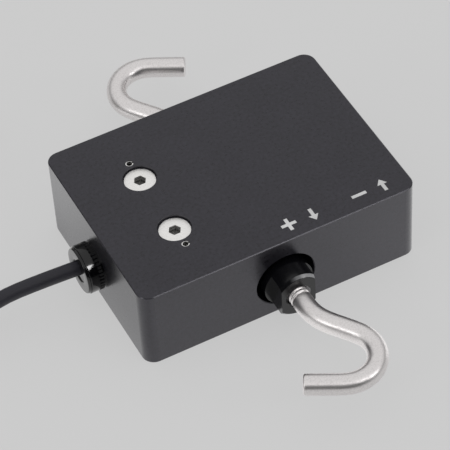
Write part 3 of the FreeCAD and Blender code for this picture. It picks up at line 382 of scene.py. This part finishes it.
def machined_heads(name, centre, spread, top):
    """Bright flat screw heads with turning marks round each of two axes along Y, and sockets painted darker
    with depth as shade.
    """
    tint = (1.0, 0.985, 0.968)
    finish = Finish(name, tint, 0.5, metallic=1.0)
    split = finish.nodes.new("ShaderNodeSeparateXYZ")
    finish.links.new(finish.place, split.inputs[0])
    x = finish.math("SUBTRACT", split.outputs["X"], centre.x)
    aside = finish.math("ABSOLUTE", finish.math("SUBTRACT", split.outputs["Y"], centre.y))
    y = finish.math("SUBTRACT", aside, spread)
    squares = finish.math("ADD", finish.math("MULTIPLY", x, x), finish.math("MULTIPLY", y, y))
    distance = finish.math("SQRT", squares)
    waves = finish.math("SINE", finish.math("MULTIPLY", distance, 2 * math.pi / (0.32 * MM)))
    grain = finish.noise(0.5 * MM, detail=3.0)
    # Painted shade: the colour darkens with depth below the heads' top, so the sockets read dark, broken by
    # the grain into darker and brighter specks.
    depth = finish.math("MULTIPLY", finish.math("SUBTRACT", top, split.outputs["Z"]), 1 / (2 * MM))
    painted_depth_shade = finish.math("SUBTRACT", finish.math("MULTIPLY", grain, 0.6), depth)
    stops = ((-0.7, 0.12), (-0.3, 0.85), (-0.1, 0.4), (0.1, 0.86), (0.36, 1.0))
    places = [(0.5 + place / 2, tuple(c * level for c in tint)) for place, level in stops]
    finish.colour(finish.math("MULTIPLY_ADD", painted_depth_shade, 0.5, 0.5), *places)
    finish.roughness(grain, 0.44, 0.54)
    speckle = finish.noise(0.4 * MM, detail=4.0, rough=0.7)
    return finish.bump(waves, 0.0012 * MM).bump(speckle, 0.01 * MM).material


MATERIALS = {
    "anodised": anodised("black_anodised_aluminium", (0.0095, 0.009, 0.012), 0.28),
    "plate": anodised("black_anodised_plate", (0.018, 0.018, 0.021), 0.36),
    # The shaft's last colour is a painted highlight on the right side of its chamfer.
    "shaft": blackened_shaft(
        "black_oxide_shaft", (0.003, 0.003, 0.004), (0.36, 0.36, 0.37), SHAFT_FRONT, SHAFT_CHAMFER),
    "hook": tumbled("tumbled_stainless", (0.83, 0.8, 0.794), 0.34),
    "steel": metal("plain_steel", (0.62, 0.61, 0.6), 0.34),
    "pins": metal("spring_steel", (0.95, 0.94, 0.92), 0.3),
    "dark_steel": metal("blackened_steel", (0.09, 0.09, 0.095), 0.38),
    "aluminium": metal("milled_aluminium", (0.78, 0.79, 0.8), 0.36, stretch=(8.0, 1.0, 1.0)),
    "foil": moulded("gauge_foil", (0.55, 0.33, 0.1), 0.35),
    "leads": moulded("lead_sleeve", (0.45, 0.04, 0.03), 0.45),
    "wires": moulded("wire_sleeve", (0.05, 0.05, 0.06), 0.5),
    "board": moulded("printed_board", (0.01, 0.11, 0.04), 0.35),
    "chips": moulded("component_body", (0.03, 0.03, 0.03), 0.45),
    "gland": moulded("glossy_nylon", (0.001, 0.001, 0.0015), 0.1, grain_depth=0.0006 * MM, ior=1.48),
    "jacket": moulded(
        "cable_jacket", (0.0145, 0.0137, 0.0215), 0.55, grain_size=0.3 * MM, grain_depth=0.003 * MM),
    "strap": moulded(
        "hook_and_loop", (0.025, 0.025, 0.027), 0.9, grain_size=0.3 * MM, grain_depth=0.12 * MM),
    "hood": moulded("hood_plastic", (0.03, 0.03, 0.032), 0.45, grain_depth=0.02 * MM),
    "boot": moulded("boot_rubber", (0.015, 0.015, 0.015), 0.6),
    "plated": metal("nickel_plate", (0.66, 0.64, 0.6), 0.22),
    "insert": moulded("insulator_plastic", (0.02, 0.02, 0.022), 0.5),
    "gold": metal("gold_contacts", (0.9, 0.64, 0.25), 0.2),
    "ink": moulded("white_ink", (0.7, 0.7, 0.7), 0.5),
}

NODE_MATERIALS = {
    "housing": "anodised",
    "bottom_cover": "plate",
    "cover_screws": "dark_steel",
    "spring_pins": "pins",
    "load_cell": "aluminium",
    "strain_gauges": "foil",
    "gauge_leads": "leads",
    "terminal_board": "board",
    "board_components": "chips",
    "board_screws": "steel",
    "harness": "wires",
    "load_stud": "steel",
    "jam_nut": "steel",
    "load_shaft": "shaft",
    "gland_body": "gland",
    "gland_seal": "gland",
    "gland_locknut": "steel",
    "hood_upper": "hood",
    "hood_lower": "hood",
    "hood_screws": "dark_steel",
    "connector_shell": "plated",
    "connector_insert": "insert",
    "contact_pins": "gold",
    "connector_boot": "boot",
    "thumbscrew_left": "dark_steel",
    "thumbscrew_right": "dark_steel",
}


def dress(node, material):
    """Gives a solid of the frame its finish."""
    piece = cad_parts[node]
    piece.data.materials.clear()
    piece.data.materials.append(material)


def middle_of(node):
    """The middle of a node's box."""
    low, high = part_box(node)
    return (Vector(low) + Vector(high)) / 2


def make_camera():
    """The camera at the photograph's place and angle."""
    heading, depression = math.radians(CAMERA_HEADING), math.radians(CAMERA_DEPRESSION)
    level = math.cos(depression)
    ahead = Vector((math.sin(heading) * level, math.cos(heading) * level, -math.sin(depression)))
    lens = bpy.data.cameras.new("camera")
    lens.lens = CAMERA_LENS
    lens.sensor_width = CAMERA_SENSOR
    camera = bpy.data.objects.new("camera", lens)
    camera.location = CAMERA_PLACE
    camera.rotation_mode = "QUATERNION"
    roll = Quaternion((0, 0, 1), math.radians(CAMERA_ROLL))
    camera.rotation_quaternion = ahead.to_track_quat("-Z", "Y") @ roll
    bpy.context.scene.collection.objects.link(camera)
    bpy.context.scene.camera = camera


def coil_points():
    """Control points of the coil's turns: inwards along the bottom layer, then outwards along the top."""
    bottom, top = COIL_HEIGHTS
    columns = [(r, bottom) for r in COIL_RADII] + [(r, top) for r in reversed(COIL_RADII)]
    shift_start = COIL_ENTRY - COIL_SHIFT[0] + 360
    shift_length = COIL_SHIFT[0] - COIL_SHIFT[1]
    total = (len(columns) - 1) * 360 + COIL_ENTRY - COIL_EXIT
    swell = 1 / math.cos(math.pi / COIL_STEPS)
    count = round(total * COIL_STEPS / 360)
    points = []
    for k in range(count + 1):
        turned = total * k / count
        column = max(0, int((turned - shift_start) // 360) + 1)
        shifted = min(1.0, ((turned - shift_start) % 360) / shift_length) if column else 0.0
        (r0, z0), (r1, z1) = columns[max(0, column - 1)], columns[column]
        radius = (r0 + (r1 - r0) * shifted) * swell
        angle = math.radians(COIL_ENTRY - turned)
        x, y = COIL_CENTRE[0] + radius * math.cos(angle), COIL_CENTRE[1] + radius * math.sin(angle)
        points.append((x, y, z0 + (z1 - z0) * shifted))
    return points


def make_cable():
    """The whole cable on one smooth curve, from inside the gland through the coil to the plug."""
    points = [CABLE_START] + CABLE_EXIT_ROUTE + coil_points() + CABLE_END_ROUTE
    curve = bpy.data.curves.new("cable_line", "CURVE")
    curve.dimensions = "3D"
    curve.bevel_depth = CABLE_RADIUS
    curve.bevel_resolution = 6
    curve.resolution_u = 6
    curve.use_fill_caps = True
    spline = curve.splines.new("NURBS")
    spline.points.add(len(points) - 1)
    for point, place in zip(spline.points, points):
        point.co = (*(c * MM for c in place), 1.0)
    spline.order_u = 3
    spline.use_endpoint_u = True
    cable = bpy.data.objects.new("cable_line", curve)
    cable.data.materials.append(MATERIALS["jacket"])
    bpy.context.scene.collection.objects.link(cable)
    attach(cable, "housing")
    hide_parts("cable", "cable_coil", "cable_end")
    return cable


def hook_stations(outward, side, stem):
    """Places along a hook's centreline, from its start inside the thread: (offset, heading, distance)."""
    threaded = STEM_INSIDE + THREAD_OUTSIDE
    thread_rings = round(threaded / (THREAD_PITCH / THREAD_RINGS))
    distances = [k * threaded / thread_rings for k in range(thread_rings + 1)]
    stations = [(outward * distance, 0.0, distance) for distance in distances]
    place, heading, distance = outward * threaded, 0.0, threaded
    for kind, size, turn in (
        ("leg", STEM_INSIDE + stem - threaded, 0),
        ("bend", *STEM_BEND),
        ("leg", STEM_LEG, 0),
        ("bend", *BOWL_BEND),
        ("leg", TIP_LEG - TIP_ROUNDING, 0),
    ):
        if kind == "leg":
            ahead = side * math.sin(heading) + outward * math.cos(heading)
            steps = math.ceil(size / LEG_STEP)
            for k in range(1, steps + 1):
                stations.append((place + ahead * size * k / steps, heading, distance + size * k / steps))
            place, distance = place + ahead * size, distance + size
            continue
        across = side * math.cos(heading) - outward * math.sin(heading)
        centre = place + across * math.copysign(size, turn)
        steps, swept = math.ceil(abs(turn) / BEND_STEP), size * math.radians(abs(turn))
        for k in range(1, steps + 1):
            angle = heading + math.radians(turn) * k / steps
            normal = side * math.cos(angle) - outward * math.sin(angle)
            offset = centre - normal * math.copysign(size, turn)
            stations.append((offset, angle, distance + swept * k / steps))
        place, heading, distance = offset, angle, distance + swept
    return stations[:thread_rings] + eased(stations[thread_rings:])


def eased(stations, reach=5):
    """The same places with each bend run gently into the straights beside it."""
    result = []
    for k, (_, _, distance) in enumerate(stations):
        span = min(reach, k, len(stations) - 1 - k)
        near = stations[k - span:k + span + 1]
        offset = sum((place for place, _, _ in near), Vector()) / len(near)
        result.append((offset, sum(heading for _, heading, _ in near) / len(near), distance))
    return result


def make_hook(name, mouth, outward, side, stem, body, node):
    """A hook of round bar with a cut thread at its stem and a rounded tip."""
    start = mouth - outward * STEM_INSIDE
    handed = outward.cross(side).z
    rings = [(offset, heading, s, HOOK_RADIUS) for offset, heading, s in hook_stations(outward, side, stem)]
    end, heading, s, radius = rings[-1]
    ahead = side * math.sin(heading) + outward * math.cos(heading)
    for k in range(1, TIP_RINGS + 1):
        angle = math.pi / 2 * k / TIP_RINGS
        reach = TIP_ROUNDING * math.sin(angle)
        rings.append((end + ahead * reach, heading, s + reach, radius - TIP_ROUNDING * (1 - math.cos(angle))))
    thread_end = STEM_INSIDE + THREAD_OUTSIDE
    vertices = []
    for offset, heading, s, radius in rings:
        across = side * math.cos(heading) - outward * math.sin(heading)
        fade = min(1.0, max(0.0, (thread_end - s) / THREAD_FADE))
        for k in range(HOOK_SEGMENTS):
            angle = 2 * math.pi * k / HOOK_SEGMENTS
            phase = (s / THREAD_PITCH - handed * k / HOOK_SEGMENTS) % 1.0
            groove = max(0.0, 1 - abs(phase - 0.5) / THREAD_FLANK) * THREAD_DEPTH * fade
            reach = radius - groove
            vertices.append(start + offset + (across * math.cos(angle) + UP * math.sin(angle)) * reach)
    faces = grid_faces(len(rings), HOOK_SEGMENTS)
    faces.append(tuple(range(HOOK_SEGMENTS)))
    faces.append(tuple(reversed(range(len(vertices) - HOOK_SEGMENTS, len(vertices)))))
    if handed > 0:
        faces = [tuple(reversed(face)) for face in faces]
    hook = collect(name, vertices, faces, MATERIALS["hook"], body, smooth_angle=50.0)
    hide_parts(node)


def make_hooks():
    """Both hooks."""
    front = Vector((AXIS_X, SHAFT_FRONT, AXIS_Z))
    rear = Vector((AXIS_X, REAR_FACE, AXIS_Z))
    make_hook("front_hook_bar", front, FRONT, RIGHT, FRONT_STEM, "front_hook", "front_hook")
    make_hook("rear_hook_bar", rear, -FRONT, -RIGHT, REAR_STEM, "rear_hook", "rear_hook")


def make_gland_nut():
    """The gland's round nut: grip ribs at its back, a smooth glossy barrel, and a conical front."""
    segments = GRIP_RIBS * GRIP_STEPS
    base = Vector((GLAND_X - GLAND_FLANGE, 0, GLAND_Z))
    length, radius = GLAND_NUT_LENGTH, GLAND_NUT_RADIUS
    cavity = length - GLAND_NUT_WALL
    groove = length - GLAND_GROOVE
    barrel_end = groove - GLAND_GROOVE_EDGE
    smooth = GRIP_LENGTH + GRIP_FADE
    grip = [GRIP_LENGTH * k / 8 for k in range(9)] + [GRIP_LENGTH + GRIP_FADE * k / 4 for k in range(1, 5)]
    barrel = [smooth + (barrel_end - smooth) * k / GLAND_BARREL_RINGS for k in range(1, GLAND_BARREL_RINGS)]
    cone_start = (groove + GLAND_GROOVE_EDGE, radius - GLAND_GROOVE_DEPTH)
    cone_end = (length - GLAND_CONE_EDGE, radius - GLAND_CONE_DROP)
    mouth = (length - GLAND_LIP, GLAND_MOUTH_RADIUS + GLAND_LIP)
    profile = [(0, GLAND_NUT_BORE)] + [(along, radius) for along in grip + barrel]
    profile += arc_profile((barrel_end, radius - GLAND_GROOVE_EDGE), GLAND_GROOVE_EDGE, 90, 0, steps=4)
    profile += arc_profile(cone_start, GLAND_GROOVE_EDGE, 180, 60, steps=6)
    profile += arc_profile(cone_end, GLAND_CONE_EDGE, 60, 0, steps=6)
    profile += arc_profile(mouth, GLAND_LIP, 0, -90, steps=6)
    profile += [(cavity, GLAND_MOUTH_RADIUS), (cavity, GLAND_NUT_BORE)]
    turn = (-RIGHT).to_track_quat("Z", "Y")
    vertices = []
    for along, reach in profile:
        fade = min(1.0, (smooth - along) / GRIP_FADE) if reach == radius else 0.0
        for k in range(segments):
            angle = 2 * math.pi * k / segments
            rise = abs(math.sin(math.pi * k / GRIP_STEPS)) ** GRIP_ROUNDNESS
            ribbed = reach - GRIP_DEPTH * max(0.0, fade) * (1 - rise)
            vertices.append(base + turn @ Vector((ribbed * math.cos(angle), ribbed * math.sin(angle), along)))
    faces = grid_faces(len(profile), segments, closed=True)
    nut = collect("gland_ribbed_nut", vertices, faces, MATERIALS["gland"], "housing", 40.0)
    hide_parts("gland_nut")
    return nut


def make_marks():
    """White marks along the top's front edge: plus and minus, each with the way that the load acts."""
    half, stroke, neck = MARK_REACH, MARK_STROKE, ARROW_NECK
    bar = [(-half, -stroke), (half, -stroke), (half, stroke), (-half, stroke)]
    upper = [(-stroke, stroke), (stroke, stroke), (stroke, half), (-stroke, half)]
    lower = [(x, -y) for x, y in reversed(upper)]
    head = [(-ARROW_REACH, neck), (ARROW_REACH, neck), (0, half)]
    shaft = [(-stroke, -half), (stroke, -half), (stroke, neck), (-stroke, neck)]
    outward = [[(-x, -y) for x, y in shape] for shape in (head, shaft)]
    marks = (
        (PLUS_X, [bar, upper, lower]),
        (OUT_ARROW_X, outward),
        (MINUS_X, [bar]),
        (IN_ARROW_X, [head, shaft]),
    )
    vertices, faces = [], []
    for place, shapes in marks:
        for shape in shapes:
            first, count = len(vertices), len(shape)
            for z in (HOUSING_TOP - INK, HOUSING_TOP + INK):
                vertices += [(place + x, MARK_Y + y, z) for x, y in shape]
            faces.append(tuple(range(first + count, first + 2 * count)))
            faces.append(tuple(reversed(range(first, first + count))))
            for k in range(count):
                after = (k + 1) % count
                faces.append((first + k, first + after, first + count + after, first + count + k))
    collect("direction_marks", vertices, faces, MATERIALS["ink"], "housing")


def make_strap():
    """The strap round the coil: a flat band with rounded corners, and its end lapped over the top."""
    low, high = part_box("coil_tie")
    thickness, corner, edge = STRAP_THICKNESS, STRAP_CORNER, STRAP_EDGE
    half_width = (high[1] - low[1]) / 2
    middle = (high[1] + low[1]) / 2
    inset = thickness / 2
    x0, x1, z0, z1 = low[0] + inset, high[0] - inset, low[2] + inset, high[2] - inset
    section = []
    for across, deep in ((1, 1), (-1, 1), (-1, -1), (1, -1)):
        for k in range(4):
            turn = math.atan2(deep, across) + math.radians(-45 + 30 * k)
            section.append((across * (half_width - edge) + edge * math.cos(turn),
                            deep * (thickness / 2 - edge) + edge * math.sin(turn)))

    def band(name, path, closed):
        vertices = []
        for x, z, lean, narrow in path:
            out_x, out_z = math.cos(lean), math.sin(lean)
            for across, deep in section:
                vertices.append((x + out_x * deep, middle + across * narrow, z + out_z * deep))
        faces = grid_faces(len(path), len(section), closed)
        if not closed:
            faces.append(tuple(range(len(section))))
            faces.append(tuple(reversed(range(len(vertices) - len(section), len(vertices)))))
        strap = collect(name, vertices, faces, MATERIALS["strap"], "housing")
        return strap

    loop = []
    for x, z, start in ((x1, z1, 0), (x0, z1, 90), (x0, z0, 180), (x1, z0, 270)):
        centre_x = x - math.copysign(corner, x - (x0 + x1) / 2)
        centre_z = z - math.copysign(corner, z - (z0 + z1) / 2)
        for k in range(9):
            lean = math.radians(start + 90 * k / 8)
            loop.append((centre_x + corner * math.cos(lean), centre_z + corner * math.sin(lean), lean, 1.0))
    lap_start, lap_z = x0 + corner + LAP_START, z1 + thickness + LAP_CLEARANCE
    lap = []
    for k in range(LAP_STEPS + 1):
        along = LAP_LENGTH * k / LAP_STEPS
        tip = min(1.0, (LAP_LENGTH - along) / half_width)
        narrow = max(LAP_NARROWEST, math.sqrt(max(0.0, 1 - (1 - tip) ** 2)))
        lap.append((lap_start + along, lap_z, math.pi / 2, narrow))
    strap, end = band("coil_strap", loop, True), band("coil_strap_end", lap, False)
    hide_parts("coil_tie")
    return [strap, end]


def make_floor():
    """A plain pale floor, which keeps the object's shadow, softened for the eye; in reflections it glows,
    with painted light and shade in patches about the object.
    """
    half = FLOOR_HALF
    corners = [(-half, -half, 0), (half, -half, 0), (half, half, 0), (-half, half, 0)]
    mesh = bpy.data.meshes.new("floor")
    mesh.from_pydata(corners, [], [(0, 1, 2, 3)])
    floor = bpy.data.objects.new("floor", mesh)
    floor.location.z = -FLOOR_DROP
    paint = Finish("floor_paint", (FLOOR_GREY, FLOOR_GREY, FLOOR_GREY), 0.9)
    paint.set("Specular IOR Level", 0.0)
    rays = paint.nodes.new("ShaderNodeLightPath")
    reflected = paint.math("MAXIMUM", rays.outputs["Is Glossy Ray"], rays.outputs["Is Transmission Ray"])
    glow = paint.nodes.new("ShaderNodeEmission")
    glow.inputs["Color"].default_value = (1, 1, 1, 1)
    split = paint.nodes.new("ShaderNodeSeparateXYZ")
    paint.links.new(paint.place, split.inputs[0])

    def step(axis, start, end):
        ramp = paint.nodes.new("ShaderNodeMapRange")
        ramp.interpolation_type = "SMOOTHSTEP"
        ramp.inputs["From Min"].default_value = start * MM
        ramp.inputs["From Max"].default_value = end * MM
        paint.links.new(split.outputs[axis], ramp.inputs["Value"])
        return ramp.outputs["Result"]

    # Painted light and shade for reflections: patches of brighter and darker glow along the object's walls
    # and close behind it.
    behind = step("Y", *LEFT_BACK_Y)
    along = paint.math("MULTIPLY_ADD", behind, REFLECTED_LEFT[1], REFLECTED_LEFT[0])
    left = paint.math("MULTIPLY", along, step("X", *LEFT_X))
    right = paint.math("MULTIPLY", step("X", *RIGHT_X), REFLECTED_RIGHT)
    corner = paint.math("MULTIPLY", step("Y", *REAR_Y), step("X", *REAR_X))
    rear = paint.math("MULTIPLY", corner, REFLECTED_REAR)
    sides = paint.math("ADD", rear, paint.math("ADD", left, right))
    near = paint.math("ADD", REFLECTED_NEAR, sides)
    around = paint.math("MULTIPLY", step("Y", *NEAR_FRONT), step("Y", *NEAR_BACK))
    strength = paint.math("MULTIPLY_ADD", near, around, REFLECTED_FAR - BACKGROUND_GREY)
    rise = paint.math("MULTIPLY", reflected, strength)
    paint.join(paint.math("ADD", rise, BACKGROUND_GREY), glow, "Strength")
    seen = paint.math("MAXIMUM", rays.outputs["Is Camera Ray"], reflected)
    mix = paint.nodes.new("ShaderNodeMixShader")
    paint.join(paint.math("MULTIPLY", seen, FLOOR_GLOW), mix, "Fac")
    paint.links.new(paint.shader.outputs[0], mix.inputs[1])
    paint.links.new(glow.outputs[0], mix.inputs[2])
    paint.links.new(mix.outputs[0], paint.nodes["Material Output"].inputs["Surface"])
    floor.data.materials.append(paint.material)
    bpy.context.scene.collection.objects.link(floor)


def make_softbox(name, direction, size, strength, only=None):
    """A soft area light that faces the object, and lights one piece alone if only names it."""
    light = bpy.data.lights.new(name, "AREA")
    light.shape = "RECTANGLE"
    light.size, light.size_y = size
    light.energy = strength * math.pi * size[0] * size[1]
    lamp = bpy.data.objects.new(name, light)
    lamp.location = direction.normalized() * SOFTBOX_DISTANCE
    lamp.rotation_mode = "QUATERNION"
    lamp.rotation_quaternion = (-direction).to_track_quat("-Z", "Y")
    bpy.context.scene.collection.objects.link(lamp)
    if only:
        lit = bpy.data.collections.new(name + "_lit")
        lit.objects.link(only)
        lamp.light_linking.receiver_collection = lit


def make_world():
    """Soft surroundings: pale all round, dark low down on the camera's side and bright high up there."""
    world = bpy.data.worlds.new("studio")
    world.use_nodes = True
    nodes, links = world.node_tree.nodes, world.node_tree.links
    split = nodes.new("ShaderNodeSeparateXYZ")
    links.new(nodes.new("ShaderNodeTexCoord").outputs["Generated"], split.inputs[0])

    def fill(node, values):
        for socket, value in zip(node.inputs, values):
            if isinstance(value, bpy.types.NodeSocket):
                links.new(value, socket)
            else:
                socket.default_value = value

    def combine(operation, *values):
        node = nodes.new("ShaderNodeMath")
        node.operation = operation
        fill(node, values)
        return node.outputs[0]

    def ramp(source, start, end, low, high):
        node = nodes.new("ShaderNodeMapRange")
        node.interpolation_type = "SMOOTHSTEP"
        fill(node, (source, start, end, low, high))
        return node.outputs["Result"]

    x, y, height = (split.outputs[axis] for axis in "XYZ")
    toward = combine("ADD", combine("MULTIPLY", x, CAMERA_SIDE[0]), combine("MULTIPLY", y, CAMERA_SIDE[1]))
    side = ramp(toward, *SIDE_STRETCH, 0.0, 1.0)
    front = ramp(height, *FRONT_STRETCH, WORLD_LOW, WORLD_HIGH)
    back = ramp(height, *BACK_STRETCH, WORLD_RIM, WORLD_ROUND)
    level = combine("ADD", combine("MULTIPLY", side, combine("SUBTRACT", front, back)), back)
    camera = nodes.new("ShaderNodeLightPath").outputs["Is Camera Ray"]
    shown = combine("MULTIPLY", camera, combine("SUBTRACT", BACKGROUND_GREY, level))
    links.new(combine("ADD", level, shown), nodes["Background"].inputs["Strength"])
    nodes["Background"].inputs["Color"].default_value = (1, 1, 1, 1)
    bpy.context.scene.world = world


make_camera()
cable = make_cable()
make_hooks()
gland_nut = make_gland_nut()
make_marks()
for node, key in NODE_MATERIALS.items():
    dress(node, MATERIALS[key])
screw_middle = middle_of("cell_screws")
screw_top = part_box("cell_screws")[1].z
dress("cell_screws", machined_heads("machined_screw_heads", screw_middle, SCREW_SPREAD, screw_top))
strap_pieces = make_strap()

make_floor()
lit_alone = {"edge_softbox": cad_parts["housing"], "gland_softbox": gland_nut}
for name, (direction, size, strength) in SOFTBOXES.items():
    make_softbox(name, Vector(direction), size, strength, lit_alone.get(name))
make_world()

bpy.context.scene.view_settings.view_transform = "Standard"
